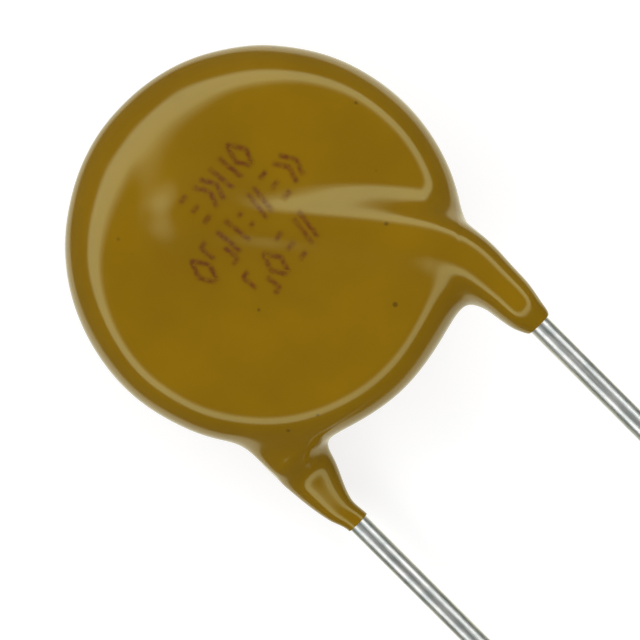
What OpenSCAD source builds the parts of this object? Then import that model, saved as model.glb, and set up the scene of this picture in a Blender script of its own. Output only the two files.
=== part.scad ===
// Radial-lead disc varistor: a zinc oxide disc with a silver electrode on each face, a tinned
// wire soldered to each electrode, and a dipped epoxy coat over all of it.
// It lies flat on its back, as it comes to rest: +Z is up through the marked face, the leads run
// along -Y, and the origin is on the surface under the middle of the part.

/* [Ceramic disc] */
// Diameter of the pressed and fired disc
disc_d = 10; // [8:0.5:14]
// Thickness of the disc, which sets its voltage
disc_t = 1.9; // [1.2:0.1:3]
// Bevel that the pressing die leaves round each face
disc_bevel = 0.15; // [0.05:0.05:0.3]

/* [Electrodes] */
// Width of bare ceramic between the silver and the disc's edge
electrode_margin = 0.6; // [0.3:0.1:1]
// Thickness of the fired silver
electrode_t = 0.04; // [0.02:0.01:0.08]

/* [Leads] */
// Diameter of the tinned copper wire
lead_d = 0.6; // [0.5:0.05:0.8]
// Distance between the two leads, centre to centre
pitch = 7.5; // [6.5:0.25:8.5]
// Bare length of each lead beyond the longer run of coat
lead_free = 25; // [5:1:30]
// Radius of the bend that turns a lead in over the disc, at the wire's centre
bend_r = 3.5; // [2.5:0.25:4]
// How much the wire draws down in radius where it is bent
bend_thin = 0.01; // [0.006:0.002:0.02]
// How far outside the coat the wire starts to draw down
draw_out = 0.2; // [0.1:0.05:0.4]
// Angle of that bend
bend_angle = 41.5; // [35:0.5:48]
// How far inside the coated rim the bend starts
bend_in = 0.8; // [0.4:0.1:1.2]
// Distance from the electrode's edge to the cut inner end of the wire
lead_end_in = 1.2; // [0.9:0.1:2]

/* [Solder] */
// Thickness of solder between the wire and the silver
solder_film = 0.07; // [0.04:0.01:0.12]
// Width of the solder's foot on the silver
solder_w = 1.4; // [1.2:0.05:1.8]
// Height that the solder climbs from the silver
solder_h = 0.5; // [0.4:0.05:0.55]
// Thickness of the solder at the edge of its foot
solder_foot = 0.04; // [0.02:0.01:0.08]
// How much wider than its run the solder is round its two ends
solder_end = 0.06; // [0.03:0.01:0.15]
// Distance from the electrode's edge to the solder's foot
solder_edge = 0.1; // [0.05:0.05:0.3]

/* [Epoxy coat on the disc] */
// Thickness of the coat at the disc's rim
rim_coat = 0.6; // [0.4:0.05:0.9]
// Thickness over the electrode where the coat is thinnest
face_coat = 0.42; // [0.3:0.02:0.7]
// How much thicker the coat is at the end away from the leads, where it drained
drain = 0.28; // [0:0.02:0.4]
// Width of the shoulder between the face and the rim, at the leads' end
shoulder_w = 1.06; // [0.8:0.02:1.4]
// How much wider the shoulder is at the other end, where the coat drained
drain_shoulder = 1.4; // [0:0.1:1.6]

/* [Epoxy coat over the inner wires] */
// Thickness of the coat that follows a lead's inner wire
cover_coat = 0.08; // [0.06:0.01:0.2]
// Distance past the bend's start at which the coat has thinned from the leg's thickness to that
cover_run = 3.4; // [2.4:0.2:4]
// Height of resin held back beside a lead, on the side towards the other lead
held = 0.56; // [0:0.04:0.6]
// Distance across the face over which that held resin thins out
held_reach = 3.4; // [2:0.1:5]
// Width of the slope down from that resin to the thinner side of the lead
step_w = 1; // [0.8:0.05:1.4]
// Height of the ridge of resin along an inner wire
ridge = 0.2; // [0:0.02:0.3]
// Half width of that ridge
ridge_w = 0.92; // [0.7:0.02:1.2]
// How much higher the ridge is over the wire's cut end
knob = 0.18; // [0:0.02:0.28]

/* [Epoxy coat on the legs] */
// Thickness of the coat at the sides of the front lead, outside the disc
front_coat = 0.3; // [0.2:0.02:0.4]
// Thickness of the coat on top of the front lead
front_top = 0.48; // [0.2:0.02:0.52]
// Thickness of the coat round the rear lead
rear_coat = 0.42; // [0.2:0.02:0.5]
// Length of the coat on the front lead beyond the coated rim
front_run = 1.29; // [1:0.01:2]
// Length of the coat on the rear lead beyond the coated rim
rear_run = 1.895; // [1:0.005:2.2]
// Length of the taper at the end of the front run
front_taper = 1.1; // [0.6:0.05:1.4]
// Length over which the top of the front run slopes down to its tip
front_nose = 0.75; // [0.6:0.05:1.2]
// Length of the taper at the end of the rear run
rear_taper = 2; // [1:0.05:2.2]
// Thickness of the coat where it ends on the wire
tip_coat = 0.06; // [0.04:0.01:0.12]
// How far the rear run leans out from its wire, where it leans most
rear_sway = 0.1; // [0:0.02:0.12]
// How far the front run leans in
front_sway = 0.04; // [0:0.02:0.12]

/* [Fillets in the epoxy] */
// Softness of the fillet between face and lead
blend_face = 0.6; // [0.3:0.05:0.8]
// Softness of the fillet between rim and lead
blend_rim = 2.6; // [1.6:0.1:2.8]
// How far inside the rim the soft fillet starts
blend_in = 4; // [3:0.1:4.4]
// Depth of the web of resin between a lead and the rim
web = 0.8; // [0.4:0.1:1.2]
// How far inside the rim the web starts to fade
web_in = 0.9; // [0.4:0.1:1.4]
// How far outside the rim the web ends
web_out = 0.1; // [0:0.1:0.4]

/* [Hidden] */
FRONT = 1;
REAR = -1;

lead_r = lead_d / 2;
electrode_r = disc_d / 2 - electrode_margin;
electrode_top = disc_t / 2 + electrode_t;
rim_r = disc_d / 2 + rim_coat;
lead_x = pitch / 2;
lead_z = electrode_top + solder_film + lead_r;
bend_y = -(rim_r - bend_in);
bend_x = lead_x - bend_r;
tip_y = -(rim_r + max(front_run, rear_run) + lead_free);

// The bend's inner end, the direction of the wire over the disc, and the direction across it
// towards the other lead
bend_end = [bend_x + bend_r * cos(bend_angle), bend_y + bend_r * sin(bend_angle)];
along = [-sin(bend_angle), cos(bend_angle)];
across = [-cos(bend_angle), -sin(bend_angle)];

// Distances along the inner wire at which it is a given radius from the disc's centre
half_chord_sq = pow(bend_end * along, 2) - bend_end * bend_end;
function run_in(radius) = -(bend_end * along) - sqrt(half_chord_sq + radius * radius);
function run_out(radius) = -(bend_end * along) + sqrt(half_chord_sq + radius * radius);
inner_l = run_out(electrode_r - lead_end_in);
solder_from = run_in(electrode_r - solder_w / 2 - solder_end - solder_edge);

// Number of points round each section of the coat, of sections between the two legs,
// and of sections along each leg
round_points = 64;
fan_sections = 60;
leg_sections = 8;
// How the sections crowd towards a leg's tip: 1 spaces them evenly
tip_crowd = 1.5;
// How far below the rim the sections stop fanning and run straight across the legs
fan_drop = 0.65;
// How far the fan's pivot sinks below that line, halfway round
pivot_sink = 2;
// Up to this turn from the straight sections, a section is searched from under its leg
leg_turn = 50;
// Within this distance of the rim, that search moves from the wire's height to the disc's middle
rim_band = 0.7;

function smooth(low, high, v) =
    let (t = min(max((v - low) / (high - low), 0), 1))
    t * t * (3 - 2 * t);

// The coat thickens from one of these heights to the other, as it drained away from the leads
drain_from = -0.6 * rim_r;
drain_to = 0.7 * rim_r;
// How closely the wider shoulder keeps to the far end: a larger number is closer
drain_power = 4;
// Where the middle of the slope beside a lead is, measured across the wire, and how round its
// two edges are
step_at = -0.77;
step_soft = 0.25;
// Distances along the straight inner wire, from the bend's end, at which the slope starts to
// fade and is gone
step_full = -0.5;
step_gone = inner_l - 1.5;
// The ridge grows between the first two of these, and ends between the next two
ridge_from = -1.2;
ridge_full = 1.2;
ridge_in = inner_l - 1;
ridge_end = inner_l + 0.6;
// Where the ridge starts to rise and widen towards the wire's cut end, and how much it widens
knob_from = inner_l - 3.4;
knob_w = 0.45;

// Signed distance in plan from the front lead's centre line, positive towards the other lead
function wire_side(x, y) =
    let (turn = atan2(y - bend_y, x - bend_x))
    y < bend_y ? lead_x - x
    : turn <= bend_angle ? bend_r - norm([x - bend_x, y - bend_y])
    : ([x, y] - bend_end) * across;

// Half thickness of the coated disc at a point, seen from the side on which the lead lies
function face_z(x, y) =
    let (
        u = ([x, y] - bend_end) * across,
        v = ([x, y] - bend_end) * along,
        side = wire_side(x, y),
        a = side - step_at,
        half = step_w / 2,
        step = 0.5 + (norm([a + half, step_soft]) - norm([a - half, step_soft])) / (4 * half),
        fade = (1 - smooth(step_full, step_gone, v)) * exp(-pow(max(u, 0) / held_reach, 2)),
        swell = smooth(knob_from, ridge_in, v),
        high = ridge * smooth(ridge_from, ridge_full, v) + knob * swell,
        end = 1 - smooth(ridge_in, ridge_end, v),
        wide = ridge_w + knob_w * swell
    )
    electrode_top + face_coat + drain * smooth(drain_from, drain_to, y)
        + held * step * fade + high * end * exp(-pow(side / wide, 2));

// Distance from a point to the pillow of resin over the disc, negative inside
function disc_gap(x, y, z) =
    let (
        side = z < 0 ? REAR : FRONT,
        h = face_z(side * x, y),
        r = norm([x, y]),
        w = shoulder_w + drain_shoulder * pow((1 + y / max(r, 0.001)) / 2, drain_power),
        q = max(r - rim_r + w, 0) / w,
        k = norm([q, z / h]),
        slope = norm([q / w, z / (h * h)]) / max(k, 0.001)
    )
    (k - 1) / max(slope, 0.5 / h);

// How blunt the front leg's tip is, seen from above and from the side: 1 is a straight cone and
// 2 is a round end
front_tip = 1.6;
nose_tip = 1.2;
// Distance past the bend's start at which the coat starts to thin
cover_from = 1.2;
// Share of the run at which it leans most
sway_at = 0.66;
// How much slimmer the web gets, over its first millimetre below the lead
web_slim = 0.15;
// How far inside the rim the fillets are fully soft
blend_full = -0.6;

// Share of its full thickness that the coat has near a blunt tip
function blunt(to_tip, taper, power) =
    pow(1 - pow(min(max(1 - to_tip / taper, 0), 1), power), 1 / power);

// Distance from a point to the run of resin along a lead, with the web under it near the rim
function lead_gap(x, y, z, side) =
    let (
        front = side == FRONT,
        coat = front ? front_coat : rear_coat,
        run = front ? front_run : rear_run,
        full = coat + (cover_coat - coat) * smooth(cover_from, cover_run, y - bend_y),
        to_tip = rim_r + run + y,
        grown = front ? blunt(to_tip, front_taper, front_tip) : smooth(0, rear_taper, to_tip),
        half_w = lead_r + tip_coat + (full - tip_coat) * grown,
        top = full * front_top / front_coat - tip_coat,
        half_h = front ? lead_r + tip_coat + top * blunt(to_tip, front_nose, nose_tip) : half_w,
        mid = rim_r + sway_at * run,
        bulge = smooth(rim_r, mid, -y) * (1 - smooth(mid, rim_r + run, -y)),
        drift = (front ? -front_sway : rear_sway) * bulge,
        past = max(([side * x, y] - bend_end) * along - inner_l, 0),
        plan = norm([wire_side(side * x, y) + drift, past]),
        up = side * z - lead_z,
        near = 1 - smooth(rim_r - web_in, rim_r + web_out, -y),
        rise = up > 0 ? up : min(up + web * near, 0)
    )
    norm([plan, rise * half_w / half_h]) - half_w + web_slim * near * smooth(0, 1, -up);

// The nearer of two gaps, with a fillet of softness k where they are alike
function melt(a, b, k) = min(a, b) - pow(max(1 - abs(a - b) / k, 0), 3) * k / 6;

// Distance from a point to the whole coat, the three forms melted into one
function coat_gap(p) =
    let (
        near_rim = smooth(rim_r - blend_in, rim_r - blend_full, -p.y),
        k = blend_face + (blend_rim - blend_face) * near_rim,
        legs = melt(lead_gap(p.x, p.y, p.z, FRONT), lead_gap(p.x, p.y, p.z, REAR), k)
    )
    melt(disc_gap(p.x, p.y, p.z), legs, k);

// The search for the skin moves by this share of the gap, by no more than the longest step,
// until the gap is small enough
search_share = 0.8;
search_step = 0.3;
search_end = 0.0002;

// How far the skin is from a point inside the coat, in a given direction
function reach(p, way, t = 0, left = 40) =
    let (gap = coat_gap(p + t * way))
    left == 0 || abs(gap) < search_end ? t
    : reach(p, way, t - max(min(search_share * gap, search_step), -search_step), left - 1);

// Sections of the coat: each is an upright plane out from a point between the legs. An entry
// holds the plane's direction in plan, and a point inside the coat on that plane.
function leg_section(y, side) = [[side, 0], [side * lead_x, y, side * lead_z]];
function fan_section(turn) =
    let (
        foot = [0, -(rim_r + fan_drop) - pivot_sink * pow(sin(turn), 2)],
        way = [cos(turn), sin(turn)],
        start = foot + way * lead_x / max(abs(way.x), cos(leg_turn)),
        high = lead_z * smooth(rim_r - rim_band, rim_r, norm(start))
    )
    [way, [start.x, start.y, way.x < 0 ? -high : high]];
function leg_y(i, run) = -(rim_r + run + (fan_drop - run) * pow(i / leg_sections, tip_crowd));
sections = concat(
    [for (i = [0 : leg_sections - 1]) leg_section(leg_y(i, front_run), FRONT)],
    [for (i = [0 : fan_sections]) fan_section(180 * i / fan_sections)],
    [for (i = [leg_sections - 1 : -1 : 0]) leg_section(leg_y(i, rear_run), REAR)]);

// One ring of points on the skin. The rays leave along the normals of an ellipse of the
// section's own size, so a long flat section gets its points evenly.
function section_ring(s) =
    let (
        out = [s[0].x, s[0].y, 0],
        up = [0, 0, 1],
        far = reach(s[1], out),
        near = reach(s[1], -out),
        centre = s[1] + out * (far - near) / 2,
        a = (far + near) / 2,
        b = min((reach(centre, up) + reach(centre, -up)) / 2, a)
    )
    [for (i = [0 : round_points - 1])
        let (
            turn = 360 * i / round_points,
            ray = [b * cos(turn), a * sin(turn)],
            way = (out * ray.x + up * ray.y) / norm(ray),
            from = centre + out * cos(turn) * (a * a - b * b) / a
        )
        from + way * reach(from, way)];

// How far the rear face reaches below the ceramic's middle: the part rests there when it lies
// on its back. It is looked for along the rear wire and a little beside it.
crest_steps = 20;
crest_beside = [-0.2, 0, 0.2, 0.4, 0.6];
crest_places = [for (i = [0 : crest_steps], beside = crest_beside)
    let (turn = bend_angle * i / crest_steps)
    each [
        [bend_x, bend_y] + (bend_r - beside) * [cos(turn), sin(turn)],
        bend_end + inner_l * i / crest_steps * along + beside * across]];
crest = lead_z + max([for (p = crest_places) reach([-p.x, p.y, -lead_z], [0, 0, -1])]);

module skin() {
    rings = [for (s = sections) section_ring(s)];
    last = len(rings) - 1;
    points = [for (ring = rings) each ring];
    sides = [for (i = [0 : last - 1], j = [0 : round_points - 1])
        let (
            next = (j + 1) % round_points,
            a = i * round_points + j,
            b = i * round_points + next,
            c = a + round_points,
            d = b + round_points
        )
        each [[a, b, d], [a, d, c]]];
    front_tip = [for (j = [round_points - 1 : -1 : 0]) j];
    rear_tip = [for (j = [0 : round_points - 1]) last * round_points + j];
    polyhedron(points, concat(sides, [front_tip, rear_tip]), convexity = 6);
}

// Puts a piece made for the front where it belongs on either side
module on_side(side) {
    rotate([0, side == FRONT ? 0 : 180, 0])
        children();
}

// Lays the part on its back, over the origin
module laid() {
    translate([0, -(rim_r + tip_y) / 2, crest])
        children();
}

module disc_solid() {
    rotate_extrude($fn = 180)
        polygon([
            [0, -disc_t / 2],
            [disc_d / 2 - disc_bevel, -disc_t / 2],
            [disc_d / 2, -disc_t / 2 + disc_bevel],
            [disc_d / 2, disc_t / 2 - disc_bevel],
            [disc_d / 2 - disc_bevel, disc_t / 2],
            [0, disc_t / 2]]);
}

module electrode_solid() {
    translate([0, 0, disc_t / 2])
        cylinder(h = electrode_t, r = electrode_r, $fn = 180);
}

// The bend reaches this many degrees into both straights
bend_lap = 1;

// One wire, for a given length of coat on its leg. It draws down a little towards the bend.
module lead_solid(run) {
    bare_y = -(rim_r + run + draw_out);
    translate([lead_x, tip_y, lead_z])
        rotate([-90, 0, 0])
            rotate_extrude($fn = 48)
                polygon([
                    [0, 0],
                    [lead_r, 0],
                    [lead_r, bare_y - tip_y],
                    [lead_r - bend_thin / 2, bend_y - tip_y],
                    [0, bend_y - tip_y]]);
    translate([bend_x, bend_y, lead_z])
        rotate([0, 0, -bend_lap])
            rotate_extrude(angle = bend_angle + 2 * bend_lap, $fn = 180)
                translate([bend_r, 0])
                    circle(r = lead_r - bend_thin, $fn = 48);
    translate([bend_end.x, bend_end.y, lead_z])
        rotate([-90, 0, bend_angle])
            cylinder(h = inner_l, r = lead_r, $fn = 48);
}

// Half of the solder's section: a foot on the silver, and a hollow fillet up to the wire
module solder_half(foot_w) {
    difference() {
        square([foot_w, solder_h]);
        translate([foot_w, solder_h])
            circle(r = solder_h - solder_foot, $fn = 64);
    }
}

module solder_solid() {
    translate([bend_end.x, bend_end.y, electrode_top])
        rotate([0, 0, bend_angle])
            difference() {
                union() {
                    translate([0, inner_l, 0])
                        rotate([90, 0, 0])
                            linear_extrude(inner_l - solder_from) {
                                solder_half(solder_w / 2);
                                mirror([1, 0])
                                    solder_half(solder_w / 2);
                            }
                    for (y = [solder_from, inner_l])
                        translate([0, y, 0])
                            rotate_extrude($fn = 96)
                                solder_half(solder_w / 2 + solder_end);
                }
                translate([0, solder_from - solder_w, solder_film + lead_r])
                    rotate([-90, 0, 0])
                        cylinder(h = inner_l - solder_from + solder_w, r = lead_r, $fn = 48);
            }
}

module epoxy_coat() {
    color("#88670c")
        laid()
            difference() {
                skin();
                disc_solid();
                for (side = [FRONT, REAR])
                    on_side(side) {
                        electrode_solid();
                        solder_solid();
                        lead_solid(side == FRONT ? front_run : rear_run);
                    }
            }
}

module zinc_oxide_disc() {
    color("#3f4140")
        laid()
            disc_solid();
}

module front_electrode() {
    color("#d4d6d2")
        laid()
            electrode_solid();
}

module rear_electrode() {
    color("#d4d6d2")
        laid()
            on_side(REAR)
                electrode_solid();
}

module front_solder() {
    color("#b9bcbc")
        laid()
            solder_solid();
}

module rear_solder() {
    color("#b9bcbc")
        laid()
            on_side(REAR)
                solder_solid();
}

module front_lead() {
    color("#c9ccc8")
        laid()
            lead_solid(front_run);
}

module rear_lead() {
    color("#c9ccc8")
        laid()
            on_side(REAR)
                lead_solid(rear_run);
}

epoxy_coat();
zinc_oxide_disc();
front_electrode();
rear_electrode();
front_solder();
rear_solder();
front_lead();
rear_lead();
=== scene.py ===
import math

import bpy
import numpy as np
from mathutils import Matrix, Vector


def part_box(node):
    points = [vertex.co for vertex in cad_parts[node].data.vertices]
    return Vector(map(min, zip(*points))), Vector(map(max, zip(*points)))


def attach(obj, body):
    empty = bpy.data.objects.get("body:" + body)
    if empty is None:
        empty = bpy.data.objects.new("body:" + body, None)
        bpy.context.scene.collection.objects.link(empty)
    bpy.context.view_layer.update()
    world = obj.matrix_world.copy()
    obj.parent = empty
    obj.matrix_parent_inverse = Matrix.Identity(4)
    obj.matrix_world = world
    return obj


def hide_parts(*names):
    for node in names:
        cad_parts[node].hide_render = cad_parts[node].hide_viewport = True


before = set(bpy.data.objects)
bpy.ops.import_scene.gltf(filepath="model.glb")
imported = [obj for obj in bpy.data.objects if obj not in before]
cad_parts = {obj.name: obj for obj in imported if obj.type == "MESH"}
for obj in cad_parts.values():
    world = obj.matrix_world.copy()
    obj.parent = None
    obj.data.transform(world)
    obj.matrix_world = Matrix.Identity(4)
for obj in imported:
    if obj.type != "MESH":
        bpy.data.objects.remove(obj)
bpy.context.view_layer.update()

# A radial-lead disc varistor, dipped in ochre epoxy, lying on its back. The form below is in
# millimetres from the middle of the ceramic disc: +X across the leads, -Y along them, +Z out
# of the marked face. new_piece() turns it to metres, in the frame's own place.
MM = 0.001


def box_mm(node):
    """Lowest and highest corner of a node of the frame, in mm."""
    low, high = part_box(node)
    return np.array(low) / MM, np.array(high) / MM


DISC_LOW, DISC_HIGH = box_mm("zinc_oxide_disc")
LEAD_LOW, LEAD_HIGH = box_mm("front_lead")
COAT_LOW, COAT_HIGH = box_mm("epoxy_coat")
ELECTRODE_LOW, ELECTRODE_HIGH = box_mm("front_electrode")
CENTRE = (DISC_LOW + DISC_HIGH) / 2

# Sizes that the frame gives
DISC_D = DISC_HIGH[0] - DISC_LOW[0]
ELECTRODE_TOP = ELECTRODE_HIGH[2] - CENTRE[2]
ELECTRODE_R = (ELECTRODE_HIGH[0] - ELECTRODE_LOW[0]) / 2
LEAD_R = (LEAD_HIGH[2] - LEAD_LOW[2]) / 2
LEAD_Z = (LEAD_HIGH[2] + LEAD_LOW[2]) / 2 - CENTRE[2]
LEAD_X = LEAD_HIGH[0] - LEAD_R - CENTRE[0]

# How the wires are bent: the bend's radius at the wire's centre, its angle, how far inside the
# rim it starts, and how far the wire's end stays from the electrode's edge
BEND_R = 3.5
BEND_ANGLE = math.radians(41.5)
BEND_IN = 0.8
LEAD_END_IN = 1.2

# The resin over the disc: its thickness at the rim and on the thin part of a face
RIM_COAT = 0.6
FACE_COAT = 0.42
# How much thicker it is where it drained, between which shares of the rim's radius along Y
# that grows, and the shoulder's width, how much is added to it at the far end and how sharply
DRAIN = 0.28
DRAIN_FROM = -0.6
DRAIN_TO = 0.7
SHOULDER_W = 1.06
DRAIN_SHOULDER = 1.4
DRAIN_POWER = 4

# The resin over the inner wire: how thin its cover gets, between which places past the bend's
# start, and how far it sinks into the face at the wire's end
COVER_COAT = 0.08
COVER_FROM = 1.2
COVER_RUN = 3.4
COVER_SINK = 0.25
# Resin held up between the wire and the other lead: its height and reach, the soft step beside
# the wire at which it ends, and where along the wire it starts to fade and is gone
HELD = 0.56
HELD_REACH = 3.4
STEP_AT = -0.77
STEP_HALF = 0.5
STEP_SOFT = 0.25
STEP_FULL = -0.5
STEP_GONE = 1.5
# The ridge over the wire: its height and half width, where along the wire it grows, and how
# far before and past the wire's end it slopes down
RIDGE = 0.2
RIDGE_W = 0.92
RIDGE_BEND = -1.2
RIDGE_FULL = 1.2
RIDGE_IN = 1.05
RIDGE_OUT = 0.5
# The knob that the ridge swells to at the wire's end: how much it adds to the ridge's height,
# from how far before that end, how much to its half width, how far it lies to the outer side,
# and how its crest is drawn in and rounded
KNOB = 0.24
KNOB_RUN = 3.4
KNOB_W = 0.3
KNOB_ASIDE = 0.14
KNOB_CREST = 0.5
KNOB_SOFT = 0.25

# The resin on the legs: its thickness at the sides, how far each leg runs past the rim, and
# the shape of its tip
FRONT_COAT = 0.3
REAR_COAT = 0.42
FRONT_RUN = 1.29
REAR_RUN = 1.895
FRONT_TAPER = 1.1
FRONT_TIP = 1.6
REAR_TAPER = 2.0
TIP_COAT = 0.06
# The front leg's top: its thickness, and the slope and softness of its nose
FRONT_TOP = 0.48
NOSE_RISE = 0.65
NOSE_SOFT = 0.2
# How far a leg's resin lies to one side of the wire, and at what share of its run most
FRONT_SWAY = -0.04
REAR_SWAY = 0.1
SWAY_AT = 0.66
# How square a leg's section is: 2 is round
FRONT_POWER = 2.4
REAR_POWER = 2.15
# The fillets between disc and legs: their softness on a face and at the rim, and where along
# the leads it changes
BLEND_FACE = 0.6
BLEND_RIM = 2.6
BLEND_IN = 4.0
BLEND_FULL = -0.6
# The web under a leg near the rim: its depth, where it starts and ends, how it runs out, and
# how much slimmer it is than the leg
WEB = 0.8
WEB_IN = 0.9
WEB_OUT = 0.25
WEB_FALL = 1.7
WEB_SLIM = 0.15

RIM_R = DISC_D / 2 + RIM_COAT
# The front lead's bend, the directions along and across its inner wire, and how long that is
BEND_X = LEAD_X - BEND_R
BEND_Y = -(RIM_R - BEND_IN)
BEND_END = np.array([
    BEND_X + BEND_R * math.cos(BEND_ANGLE),
    BEND_Y + BEND_R * math.sin(BEND_ANGLE)])
ALONG = np.array([-math.sin(BEND_ANGLE), math.cos(BEND_ANGLE)])
ACROSS = np.array([-math.cos(BEND_ANGLE), -math.sin(BEND_ANGLE)])
HALF_CHORD_SQ = BEND_END.dot(ALONG) ** 2 - BEND_END.dot(BEND_END)
INNER_L = -BEND_END.dot(ALONG) + math.sqrt(HALF_CHORD_SQ + (ELECTRODE_R - LEAD_END_IN) ** 2)
FRONT, REAR = 1, -1


def smooth(low, high, v):
    """A soft step from 0 at low to 1 at high."""
    t = np.clip((v - low) / (high - low), 0, 1)
    return t * t * (3 - 2 * t)


def melt(a, b, k):
    """The nearer of two gaps, with a fillet of softness k where they are alike."""
    return np.minimum(a, b) - np.maximum(1 - np.abs(a - b) / k, 0) ** 3 * k / 6


def wire_axes(x, y):
    """How far a point is across the inner wire, towards the other lead, and along it."""
    dx, dy = x - BEND_END[0], y - BEND_END[1]
    return dx * ACROSS[0] + dy * ACROSS[1], dx * ALONG[0] + dy * ALONG[1]


def wire_side(x, y):
    """Signed distance in plan from the front lead's centre line, positive towards the other."""
    turn = np.arctan2(y - BEND_Y, x - BEND_X)
    bent = BEND_R - np.hypot(x - BEND_X, y - BEND_Y)
    inner = np.where(turn <= BEND_ANGLE, bent, wire_axes(x, y)[0])
    return np.where(y < BEND_Y, LEAD_X - x, inner)


def face_z(x, y):
    """Height of the coated disc's face over its middle, on the side on which the lead lies."""
    u, v = wire_axes(x, y)
    side = wire_side(x, y)
    a = side - STEP_AT
    before, after = np.hypot(a + STEP_HALF, STEP_SOFT), np.hypot(a - STEP_HALF, STEP_SOFT)
    step = 0.5 + (before - after) / (4 * STEP_HALF)
    fade = 1 - smooth(STEP_FULL, INNER_L - STEP_GONE, v)
    fade = fade * np.exp(-(np.maximum(u, 0) / HELD_REACH) ** 2)
    knob = smooth(INNER_L - KNOB_RUN, INNER_L - RIDGE_IN, v)
    height = RIDGE * smooth(RIDGE_BEND, RIDGE_FULL, v) + KNOB * knob
    end = 1 - smooth(INNER_L - RIDGE_IN, INNER_L + RIDGE_OUT, v)
    aside = np.hypot(side + KNOB_ASIDE * knob, KNOB_SOFT * knob) / (RIDGE_W + KNOB_W * knob)
    ridge = height * end * np.exp(-aside ** (2 - KNOB_CREST * knob))
    drained = smooth(DRAIN_FROM * RIM_R, DRAIN_TO * RIM_R, y)
    return ELECTRODE_TOP + FACE_COAT + DRAIN * drained + HELD * step * fade + ridge


# A length in mm too short to matter, which keeps a division from failing
TINY = 0.001


def disc_gap(x, y, z):
    """Distance to the pillow of resin over the disc, negative inside."""
    side = np.where(z < 0, REAR, FRONT)
    h = face_z(side * x, y)
    r = np.hypot(x, y)
    w = SHOULDER_W + DRAIN_SHOULDER * ((1 + y / np.maximum(r, TINY)) / 2) ** DRAIN_POWER
    q = np.maximum(r - RIM_R + w, 0) / w
    k = np.hypot(q, z / h)
    slope = np.hypot(q / w, z / (h * h)) / np.maximum(k, TINY)
    return (k - 1) / np.maximum(slope, 0.5 / h)


def lead_gap(x, y, z, side):
    """Distance to the run of resin along a lead, with the web under it near the rim."""
    if side == FRONT:
        coat, run, sway, power = FRONT_COAT, FRONT_RUN, FRONT_SWAY, FRONT_POWER
    else:
        coat, run, sway, power = REAR_COAT, REAR_RUN, REAR_SWAY, REAR_POWER
    full = coat + (COVER_COAT - coat) * smooth(COVER_FROM, COVER_RUN, y - BEND_Y)
    to_tip = RIM_R + run + y
    if side == FRONT:
        blunt = np.clip(1 - to_tip / FRONT_TAPER, 0, 1) ** FRONT_TIP
        half_w = LEAD_R + TIP_COAT + (full - TIP_COAT) * (1 - blunt) ** (1 / FRONT_TIP)
        nose = TIP_COAT + NOSE_RISE * np.maximum(to_tip, 0)
        half_h = LEAD_R + melt(full * FRONT_TOP / FRONT_COAT, nose, NOSE_SOFT)
    else:
        half_w = half_h = LEAD_R + TIP_COAT + (full - TIP_COAT) * smooth(0, REAR_TAPER, to_tip)
    mid = RIM_R + SWAY_AT * run
    sway = sway * smooth(RIM_R, mid, -y) * (1 - smooth(mid, RIM_R + run, -y))
    v = wire_axes(side * x, y)[1]
    past = np.maximum(v - INNER_L, 0)
    sunk = COVER_SINK * smooth(INNER_L - KNOB_RUN, INNER_L - RIDGE_IN, v)
    plan = np.hypot(wire_side(side * x, y) + sway, past)
    up = side * z - LEAD_Z
    near = (1 - smooth(RIM_R - WEB_IN, RIM_R + WEB_OUT, -y)) ** WEB_FALL
    rise = np.where(up > 0, up, np.minimum(up + WEB * near, 0))
    tall = np.abs(rise) * half_w / half_h
    round_gap = (plan ** power + tall ** power) ** (1 / power) - half_w
    return round_gap + WEB_SLIM * near * smooth(0, 1, -up) + sunk


# Slow waves that a dipped skin keeps: direction, length in mm, height in mm and phase of each
WAVES = (
    ((0.9, 0.35, 0.2), 3.1, 0.0060, 0.4),
    ((-0.4, 0.9, 0.3), 2.3, 0.0042, 2.1),
    ((0.6, -0.75, 0.5), 1.7, 0.0026, 4.0),
    ((0.1, 0.5, 0.9), 2.6, 0.0040, 1.2),
    ((-0.8, -0.3, 0.6), 1.25, 0.0014, 5.3),
)


def ripple(x, y, z):
    """Height of the slow waves at a point."""
    total = 0
    for way, length, height, phase in WAVES:
        way = np.array(way) / np.linalg.norm(way)
        total = total + height * np.sin(
            2 * math.pi * (x * way[0] + y * way[1] + z * way[2]) / length + phase)
    return total


def coat_gap(x, y, z):
    """Distance to the whole coat, the three forms melted into one, with its slow waves."""
    k = BLEND_FACE + (BLEND_RIM - BLEND_FACE) * smooth(RIM_R - BLEND_IN, RIM_R - BLEND_FULL, -y)
    legs = melt(lead_gap(x, y, z, FRONT), lead_gap(x, y, z, REAR), k)
    near_tip = smooth(RIM_R + min(FRONT_RUN, REAR_RUN), RIM_R, -y)
    return melt(disc_gap(x, y, z), legs, k) - ripple(x, y, z) * near_tip


# The search for the skin: its steps, the share of the gap that one takes, and the most in mm
SEARCH_STEPS = 60
SEARCH_SHARE = 0.8
SEARCH_MOST = 0.3


def reach(p, way):
    """How far the skin is from points inside the coat, each in its own direction."""
    t = np.zeros(p.shape[:-1])
    for _ in range(SEARCH_STEPS):
        gap = coat_gap(*np.moveaxis(p + t[..., None] * way, -1, 0))
        t = t - np.clip(SEARCH_SHARE * gap, -SEARCH_MOST, SEARCH_MOST)
    return t


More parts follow.
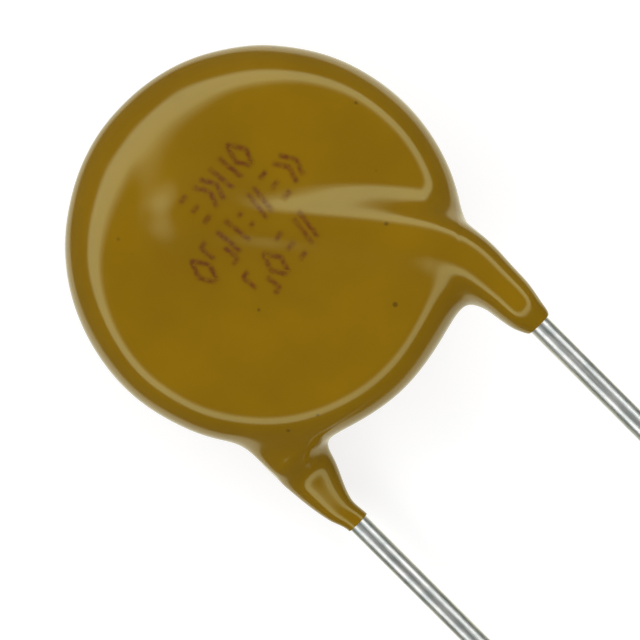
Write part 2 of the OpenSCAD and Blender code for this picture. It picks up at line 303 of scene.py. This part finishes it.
# Marks of the faded print, which spell nothing. Each row: its middle in mm, and its cells, each
# a width in mm and its strokes. A stroke runs through points in shares of the cell's width and
# of the row's height.
PRINT_TILT = math.radians(6)
PRINT_HEIGHT = 0.95
STROKE_W = 0.23
CELL_GAP = 0.2
BARS = (0.38, (((0, 0), (0, 1)), ((1, 0), (1, 1))))
STEPS = (0.4, (((0, 0.06), (1, 0.06)), ((0, 0.5), (1, 0.5)), ((0, 0.94), (1, 0.94))))
LOZENGE = (0.46, (((0.5, 0.02), (0, 0.5), (0.5, 0.98), (1, 0.5), (0.5, 0.02)),))
SLANTS = (0.46, (((0, 0), (0.5, 1)), ((0.5, 0), (1, 1))))
CORNERS = (0.42, (((0, 0.45), (0, 1), (0.65, 1)), ((0.35, 0), (1, 0), (1, 0.55))))
DASHES = (0.34, (((0.1, 0.72), (0.9, 0.72)), ((0.1, 0.28), (0.9, 0.28))))
CHEVRONS = (0.5, (((0, 0), (0.45, 0.5), (0, 1)), ((0.55, 0), (1, 0.5), (0.55, 1))))
PRINT_ROWS = (
    ((0.30, 2.0), (STEPS, CHEVRONS, BARS, LOZENGE)),
    ((0.16, 0.75), (LOZENGE, CORNERS, BARS, DASHES, SLANTS, STEPS, CHEVRONS)),
    ((0.16, -0.64), (CORNERS, LOZENGE, STEPS, SLANTS)),
)
# A stroke has points this far apart along it, at these shares of its half width, and lies this
# far over the resin
STROKE_STEP = 0.03
STROKE_SHARES = (-1, -0.6, -0.25, 0.25, 0.6, 1)
INK_LIFT = 0.004

# The skin's sections. Those of the fan turn half round, out from a line between the legs, and
# those of a leg lie across its wire, closer together at its tip.
ROUND_POINTS = 256
FAN_SECTIONS = 260
LEG_SECTIONS = 40
TIP_CROWD = 1.5
# How far outside the rim the fan starts, and how much further out its middle sections do
FAN_DROP = 0.65
FAN_SINK = 2
# Up to LEG_TURN a section starts in line with a wire. Outside the rim it starts at the wire's
# height, which falls to the middle over RIM_BAND inside it.
LEG_TURN = math.radians(50)
RIM_BAND = 0.7


def section_starts():
    """The direction of each section in plan, and a point inside the coat on it."""
    rows = []
    for i in range(LEG_SECTIONS):
        y = -(RIM_R + FRONT_RUN + (FAN_DROP - FRONT_RUN) * (i / LEG_SECTIONS) ** TIP_CROWD)
        rows.append((1, 0, LEAD_X, y, LEAD_Z))
    for i in range(FAN_SECTIONS + 1):
        turn = math.pi * i / FAN_SECTIONS
        way = np.array([math.cos(turn), math.sin(turn)])
        foot = np.array([0, -(RIM_R + FAN_DROP) - FAN_SINK * math.sin(turn) ** 2])
        start = foot + way * LEAD_X / max(abs(way[0]), math.cos(LEG_TURN))
        high = LEAD_Z * smooth(RIM_R - RIM_BAND, RIM_R, np.hypot(*start))
        rows.append((way[0], way[1], start[0], start[1], -high if way[0] < 0 else high))
    for i in reversed(range(LEG_SECTIONS)):
        y = -(RIM_R + REAR_RUN + (FAN_DROP - REAR_RUN) * (i / LEG_SECTIONS) ** TIP_CROWD)
        rows.append((-1, 0, -LEAD_X, y, -LEAD_Z))
    return np.array(rows)


def skin_points():
    """Rings of points on the skin, one ring a section, spread evenly round each section."""
    rows = section_starts()
    out = np.c_[rows[:, :2], np.zeros(len(rows))]
    up = np.broadcast_to([0.0, 0.0, 1.0], out.shape)
    start = rows[:, 2:]
    far, near = reach(start, out), reach(start, -out)
    centre = start + out * ((far - near) / 2)[:, None]
    a = (far + near) / 2
    b = np.minimum((reach(centre, up) + reach(centre, -up)) / 2, a)
    turn = 2 * math.pi * np.arange(ROUND_POINTS) / ROUND_POINTS
    ray_out, ray_up = b[:, None] * np.cos(turn), a[:, None] * np.sin(turn)
    way = out[:, None] * ray_out[..., None] + up[:, None] * ray_up[..., None]
    way = way / np.linalg.norm(way, axis=-1, keepdims=True)
    slide = np.cos(turn) * ((a * a - b * b) / a)[:, None]
    origin = centre[:, None] + out[:, None] * slide[..., None]
    return origin + way * reach(origin, way)[..., None]


def grid_faces(rings, around):
    """Quads between closed rings of points, facing out."""
    faces = []
    for i in range(rings - 1):
        for j in range(around):
            n = (j + 1) % around
            faces.append((
                i * around + j, (i + 1) * around + j,
                (i + 1) * around + n, i * around + n))
    return faces


# Edges sharper than this are kept as edges, and all others are shaded smooth
SHARP_ANGLE = math.radians(40)


def new_piece(name, points, faces, material):
    """A mesh from points in mm about the disc's middle, in the frame's place."""
    mesh = bpy.data.meshes.new(name)
    mesh.from_pydata(((np.asarray(points) + CENTRE) * MM).tolist(), [], faces)
    mesh.validate()
    mesh.materials.append(material)
    mesh.shade_smooth()
    mesh.set_sharp_from_angle(angle=SHARP_ANGLE)
    piece = bpy.data.objects.new(name, mesh)
    bpy.context.scene.collection.objects.link(piece)
    return piece


def stroke_line(points):
    """Points evenly along a stroke, with its corners rounded."""
    points = np.array(points, float)
    lengths = np.r_[0, np.cumsum(np.linalg.norm(np.diff(points, axis=0), axis=1))]
    count = max(4, int(round(lengths[-1] / STROKE_STEP)) + 1)
    at = np.linspace(0, lengths[-1], count)
    line = np.c_[np.interp(at, lengths, points[:, 0]), np.interp(at, lengths, points[:, 1])]
    for _ in range(3):
        line[1:-1] = (line[:-2] + 2 * line[1:-1] + line[2:]) / 4
    return line


def print_strokes():
    """The strokes of all rows as lines of points in mm about the disc's middle."""
    turn = np.array([
        [math.cos(PRINT_TILT), -math.sin(PRINT_TILT)],
        [math.sin(PRINT_TILT), math.cos(PRINT_TILT)]])
    for middle, cells in PRINT_ROWS:
        x = -(sum(width for width, _ in cells) + CELL_GAP * (len(cells) - 1)) / 2
        for width, strokes in cells:
            for stroke in strokes:
                flat = [(x + px * width, (py - 0.5) * PRINT_HEIGHT) for px, py in stroke]
                yield stroke_line(flat) @ turn.T + middle
            x += width + CELL_GAP


def build_marking(material):
    """Thin ribbons of ink on the front face. Their edges and ends fade into the resin."""
    points, faces, depth = [], [], []
    shares = np.array(STROKE_SHARES)
    for line in print_strokes():
        ahead = np.gradient(line, axis=0)
        ahead = ahead / np.linalg.norm(ahead, axis=1, keepdims=True)
        aside = np.c_[-ahead[:, 1], ahead[:, 0]]
        flat = line[:, None] + aside[:, None] * (shares * STROKE_W / 2)[:, None]
        flat = flat.reshape(-1, 2)
        start = np.c_[flat, np.zeros(len(flat))]
        up = np.broadcast_to([0.0, 0.0, 1.0], start.shape)
        base = len(points)
        points.extend(start + up * (reach(start, up) + INK_LIFT)[:, None])
        along = np.minimum(np.arange(len(line)), np.arange(len(line))[::-1]) * STROKE_STEP
        ends = np.clip(along / (STROKE_W / 2), 0, 1)
        depth.extend((ends[:, None] * (1 - np.abs(shares))).ravel())
        n = len(shares)
        for i in range(len(line) - 1):
            for j in range(n - 1):
                a = base + i * n + j
                faces.append((a, a + n, a + n + 1, a + 1))
    marking = new_piece("faded_marking", points, faces, material)
    layer = marking.data.attributes.new("ink_depth", "FLOAT", "POINT")
    layer.data.foreach_set("value", np.array(depth, float))
    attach(marking, "root")


def linear(hex_colour):
    """An sRGB hex colour as linear RGBA."""
    channels = [int(hex_colour[i:i + 2], 16) / 255 for i in (1, 3, 5)]
    return [c / 12.92 if c <= 0.04045 else ((c + 0.055) / 1.055) ** 2.4 for c in channels] + [1]


def add(tree, kind, links=(), **settings):
    """Adds a node. A setting is an attribute, or an input where it is named i0, i1 or in_Name."""
    node = tree.nodes.new("ShaderNode" + kind)
    for key, value in settings.items():
        if key[0] == "i" and key[1:].isdigit():
            node.inputs[int(key[1:])].default_value = value
        elif key.startswith("in_"):
            node.inputs[key[3:].replace("_", " ")].default_value = value
        else:
            setattr(node, key, value)
    for socket, source in dict(links).items():
        tree.links.new(source, node.inputs[socket])
    return node


# The resin's two shades, the yellow tint of what it reflects, its dark specks and the ink on it
EPOXY_DARK = "#84630b"
EPOXY_LIGHT = "#8b690b"
EPOXY_SHEEN = "#f9ffbe"
DARK_SPECK = "#563f10"
INK = "#683a16"
# The wire's tin where it is dull and where it is bright
TIN_DULL = "#c2c8c5"
TIN_BRIGHT = "#dfe0dc"


def new_material(name):
    """An empty material: its tree, its shader and the coordinates of the object in metres."""
    material = bpy.data.materials.new(name)
    material.use_nodes = True
    tree = material.node_tree
    tree.nodes.clear()
    shader = add(tree, "BsdfPrincipled")
    add(tree, "OutputMaterial", {0: shader.outputs[0]})
    place = add(tree, "TexCoord").outputs["Object"]
    return material, tree, shader, place


def per_mm(size_mm):
    """Texture scale at which one cell of a pattern measures size_mm."""
    return 1000 / size_mm


def two_shades(tree, pattern, shades, low, high):
    """A pattern in two shades, the first below low, the second over high, mixed in between."""
    ramp = add(tree, "ValToRGB", {0: pattern.outputs[0]})
    for stop, position, shade in zip(ramp.color_ramp.elements, (low, high), shades):
        stop.position = position
        stop.color = linear(shade)
    return ramp.outputs[0]


def epoxy_colour(tree, place):
    """The resin's base colour: ochre, a little cloudy, with a few small dark specks."""
    # Pigment that settled unevenly while the resin was wet, in clouds of a few millimetres
    cloud = add(tree, "TexNoise", {"Vector": place}, in_Scale=per_mm(2.4), in_Detail=3.0)
    shade = two_shades(tree, cloud, (EPOXY_DARK, EPOXY_LIGHT), 0.35, 0.65)
    # One cell in eight holds a dark speck, up to 0.1 mm in radius, the smallest of them faint
    speck_cells = add(tree, "TexVoronoi", {"Vector": place}, in_Scale=per_mm(0.45))
    chosen = add(tree, "SeparateColor", {0: speck_cells.outputs["Color"]})
    size = add(tree, "MapRange", {0: chosen.outputs[0]}, i1=0.88, i2=1.0, i3=0.0, i4=0.24)
    inside = add(
        tree, "Math", {0: size.outputs[0], 1: speck_cells.outputs["Distance"]}, operation="SUBTRACT")
    speck = add(tree, "MapRange", {0: inside.outputs[0]}, i1=0.0, i2=0.09, i3=0.0, i4=0.75)
    # The small dark specks, mixed into the ochre
    colour = add(tree, "MixRGB", {0: speck.outputs[0], 1: shade}, i2=linear(DARK_SPECK))
    return colour.outputs[0]


def epoxy_gloss(tree, place, shader):
    """Hard and glossy, with faint marks of handling that soften the reflection in places."""
    shader.inputs["IOR"].default_value = 1.58
    shader.inputs["Specular Tint"].default_value = linear(EPOXY_SHEEN)
    film = add(tree, "TexNoise", {"Vector": place}, in_Scale=per_mm(0.9), in_Detail=2.0)
    gloss = add(tree, "MapRange", {0: film.outputs[0]}, i1=0.3, i2=0.7, i3=0.08, i4=0.15)
    tree.links.new(gloss.outputs[0], shader.inputs["Roughness"])
    return gloss.outputs[0]


def epoxy_material():
    """Epoxy resin, dipped and oven cured: an even ochre under a smooth, slightly yellow gloss."""
    material, tree, shader, place = new_material("dipped_ochre_epoxy")
    tree.links.new(epoxy_colour(tree, place), shader.inputs["Base Color"])
    epoxy_gloss(tree, place, shader)
    return material


def ink_material():
    """Marking ink, rolled on and rubbed thin: duller than the resin, which shows through it."""
    material, tree, shader, place = new_material("faded_marking_ink")
    depth = add(tree, "Attribute", attribute_name="ink_depth")
    full = add(tree, "MapRange", {0: depth.outputs["Fac"]}, i1=0.0, i2=0.75)
    # Gaps of the stamp's grain, 0.16 mm
    worn = add(tree, "TexNoise", {"Vector": place}, in_Scale=per_mm(0.16), in_Detail=3.0)
    left = add(tree, "MapRange", {0: worn.outputs[0]}, i1=0.35, i2=0.62, i3=0.4, i4=0.95)
    cover = add(tree, "Math", {0: full.outputs[0], 1: left.outputs[0]}, operation="MULTIPLY")
    mixed = add(
        tree, "MixRGB", {0: cover.outputs[0], 1: epoxy_colour(tree, place)}, i2=linear(INK))
    tree.links.new(mixed.outputs[0], shader.inputs["Base Color"])
    matt = add(
        tree, "MapRange", {0: cover.outputs[0], 3: epoxy_gloss(tree, place, shader)}, i4=0.24)
    tree.links.new(matt.outputs[0], shader.inputs["Roughness"])
    shader.inputs["Specular IOR Level"].default_value = 0.35
    return material


def wire_material():
    """Copper wire, drawn and hot tinned: bright and cool, with dull blooms and long scratches."""
    material, tree, shader, place = new_material("tinned_copper_wire")
    shader.inputs["Metallic"].default_value = 1
    bloom = add(tree, "TexNoise", {"Vector": place}, in_Scale=per_mm(0.55), in_Detail=3.0)
    shade = two_shades(tree, bloom, (TIN_DULL, TIN_BRIGHT), 0.35, 0.62)
    tree.links.new(shade, shader.inputs["Base Color"])
    # Scratches from the drawing die, 0.05 mm wide and over 30 times as long, coarse enough to see
    long = add(tree, "Mapping", {0: place}, i3=(1, 0.03, 1))
    lines = add(
        tree, "TexNoise", {"Vector": long.outputs[0]}, in_Scale=per_mm(0.05), in_Detail=2.0)
    gloss = add(tree, "MapRange", {0: lines.outputs[0]}, i1=0.3, i2=0.7, i3=0.34, i4=0.48)
    tree.links.new(gloss.outputs[0], shader.inputs["Roughness"])
    return material


def plain_material(name, colours, metallic, gloss, grain_mm):
    """A fired or melted finish: two colours and two roughnesses, mixed in a fine grain."""
    material, tree, shader, place = new_material(name)
    shader.inputs["Metallic"].default_value = metallic
    grain = add(tree, "TexNoise", {"Vector": place}, in_Scale=per_mm(grain_mm), in_Detail=4.0)
    tree.links.new(two_shades(tree, grain, colours, 0.3, 0.7), shader.inputs["Base Color"])
    rough = add(tree, "MapRange", {0: grain.outputs[0]}, i1=0.3, i2=0.7, i3=gloss[0], i4=gloss[1])
    tree.links.new(rough.outputs[0], shader.inputs["Roughness"])
    return material


def build_coat(material):
    """The resin's whole skin, closed at both tips, where the bare wires leave it."""
    points = skin_points()
    rings, around = points.shape[:2]
    faces = grid_faces(rings, around)
    faces.append(tuple(range(around)))
    faces.append(tuple((rings - 1) * around + j for j in reversed(range(around))))
    points = np.clip(points.reshape(-1, 3), COAT_LOW - CENTRE, COAT_HIGH - CENTRE)
    coat = new_piece("dipped_coat", points, faces, material)
    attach(coat, "root")
    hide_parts("epoxy_coat")


def build_camera():
    """Straight down on the face, with the disc where the photo has it."""
    # The photo's scale in pixels a millimetre, the disc's middle in it, and its own middle
    photo_scale = 35.6
    disc_px = (264.8, 245.1)
    middle_px = 320
    # The leads run towards the photo's lower right corner
    roll = math.radians(45)
    lens, sensor = 96, 36
    dx, dy = (middle_px - disc_px[0]) / photo_scale, (middle_px - disc_px[1]) / photo_scale
    x = (dx * math.cos(roll) - dy * math.sin(roll) + CENTRE[0]) * MM
    y = (-dx * math.sin(roll) - dy * math.cos(roll) + CENTRE[1]) * MM
    field = 2 * middle_px / photo_scale * MM
    camera = bpy.data.objects.new("camera", bpy.data.cameras.new("camera"))
    camera.data.lens = lens
    camera.data.sensor_width = sensor
    camera.data.clip_start = 0.001
    camera.location = (x, y, CENTRE[2] * MM + lens * field / sensor)
    camera.rotation_euler = (0, 0, -roll)
    bpy.context.scene.collection.objects.link(camera)
    bpy.context.scene.camera = camera


def build_floor():
    """White paper, plain white to the camera apart from the part's own soft shadow."""
    size = 0.5
    # The paper's grey, and what it glows besides: less to the part than to the camera
    grey, part_glow, camera_glow = 0.36, 0.25, 0.75
    mesh = bpy.data.meshes.new("floor")
    corners = [(-size, -size, 0), (size, -size, 0), (size, size, 0), (-size, size, 0)]
    mesh.from_pydata(corners, [], [(0, 1, 2, 3)])
    material = bpy.data.materials.new("white_paper")
    material.use_nodes = True
    tree = material.node_tree
    tree.nodes.clear()
    paper = add(tree, "BsdfDiffuse", i0=(grey, grey, grey, 1))
    sight = add(tree, "LightPath")
    level = add(
        tree, "MapRange", {0: sight.outputs["Is Camera Ray"]}, i3=part_glow, i4=camera_glow)
    glow = add(tree, "Emission", {1: level.outputs[0]})
    both = add(tree, "AddShader", {0: paper.outputs[0], 1: glow.outputs[0]})
    add(tree, "OutputMaterial", {0: both.outputs[0]})
    mesh.materials.append(material)
    floor = bpy.data.objects.new("floor", mesh)
    # Gloss and metal reflect the tent's lower half instead
    floor.visible_glossy = False
    bpy.context.scene.collection.objects.link(floor)


# The tent's zones: the sine of each edge's elevation, the brightness and the tint there
WHITE, CREAM = (1, 1, 1), (1, 0.98, 0.78)
ZONES = (
    (-1.0, 1.0, CREAM), (-0.56, 1.0, CREAM), (-0.44, 0.12, CREAM), (0.0, 0.1, WHITE),
    (0.38, 0.1, WHITE), (0.48, 2.6, WHITE), (0.69, 2.6, WHITE), (0.76, 1.1, WHITE),
    (0.84, 0.1, WHITE), (1.0, 0.06, WHITE))
BRIGHTEST = 4.0
# The tent's far side, beyond the end without leads. Its bright band is deeper: the lower edge
# comes down by FAR_DROP, up to FAR_LEVEL, and what is over BAND_TOP is drawn out upwards.
FAR_SIDE = (-0.17, 0.985, 0)
FAR_FROM, FAR_FULL = 0.5, 0.8
FAR_DROP = 0.07
FAR_LEVEL = 0.62
BAND_TOP = 0.69
BAND_STRETCH = 7.0
# How bright the tent is on the leads' side, as a share of the rest
NEAR_SHARE = 0.7


def build_light():
    """A white tent with a bright band all round, a dark gap for the lens and a dark horizon."""
    world = bpy.data.worlds.new("light_tent")
    bpy.context.scene.world = world
    world.use_nodes = True
    tree = world.node_tree
    tree.nodes.clear()
    way = add(tree, "TexCoord").outputs["Generated"]
    parts = add(tree, "SeparateXYZ", {0: way})
    lean = add(tree, "VectorMath", {0: way}, operation="DOT_PRODUCT", i1=FAR_SIDE)
    drop = add(
        tree, "MapRange", {0: lean.outputs["Value"]}, i1=FAR_FROM, i2=FAR_FULL, i4=FAR_DROP)
    lifted = add(tree, "Math", {0: parts.outputs[2], 1: drop.outputs[0]}, operation="ADD")
    capped = add(tree, "Math", {0: lifted.outputs[0]}, operation="MINIMUM", i1=FAR_LEVEL)
    raised = add(tree, "Math", {0: parts.outputs[2], 1: capped.outputs[0]}, operation="MAXIMUM")
    over = add(tree, "Math", {0: parts.outputs[2]}, operation="SUBTRACT", i1=BAND_TOP)
    above = add(tree, "Math", {0: over.outputs[0]}, operation="MAXIMUM", i1=0.0)
    drawn = add(tree, "Math", {0: above.outputs[0], 1: drop.outputs[0]}, operation="MULTIPLY")
    stretch = add(tree, "Math", {0: drawn.outputs[0]}, operation="MULTIPLY", i1=BAND_STRETCH)
    lookup = add(tree, "Math", {0: raised.outputs[0], 1: stretch.outputs[0]}, operation="SUBTRACT")
    height = add(tree, "MapRange", {0: lookup.outputs[0]}, i1=-1.0, i2=1.0)
    zones = add(tree, "ValToRGB", {0: height.outputs[0]})
    ramp = zones.color_ramp.elements
    ramp.remove(ramp[0])
    for n, (sine, level, tint) in enumerate(ZONES):
        stop = ramp[0] if n == 0 else ramp.new((sine + 1) / 2)
        stop.position = (sine + 1) / 2
        stop.color = [level / BRIGHTEST * channel for channel in tint] + [1]
    strength = add(
        tree, "MapRange", {0: lean.outputs["Value"]}, i1=-1.0, i2=0.0,
        i3=NEAR_SHARE * BRIGHTEST, i4=BRIGHTEST)
    tent = add(tree, "Background", {0: zones.outputs[0], 1: strength.outputs[0]})
    backdrop = add(tree, "Background", i0=(1, 1, 1, 1), i1=1.0)
    sight = add(tree, "LightPath")
    seen = add(tree, "MixShader", {
        0: sight.outputs["Is Camera Ray"], 1: tent.outputs[0], 2: backdrop.outputs[0]})
    add(tree, "OutputWorld", {0: seen.outputs[0]})


build_camera()
build_floor()
build_light()

# Zinc oxide, pressed and fired: a dark grey ceramic, matt, with a grain of 0.05 mm
ceramic = plain_material("fired_zinc_oxide", ("#3a3c3b", "#484a48"), 0, (0.55, 0.75), 0.05)
# Silver paste, screened and fired: a pale satin metal with the screen's fine grain
silver = plain_material("fired_silver", ("#c9cbc7", "#dfe0dc"), 1, (0.3, 0.5), 0.04)
# Tin solder, melted and set: a bright grey metal with soft frosty patches
solder = plain_material("reflowed_solder", ("#adb1b2", "#c6c9c9"), 1, (0.16, 0.3), 0.2)
wire = wire_material()
KEPT_FINISHES = {
    "zinc_oxide_disc": ceramic,
    "front_electrode": silver,
    "rear_electrode": silver,
    "front_solder": solder,
    "rear_solder": solder,
    "front_lead": wire,
    "rear_lead": wire,
}
for node, finish in KEPT_FINISHES.items():
    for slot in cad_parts[node].material_slots:
        slot.link = "OBJECT"
        slot.material = finish

build_coat(epoxy_material())
build_marking(ink_material())

bpy.context.scene.view_settings.view_transform = "Standard"
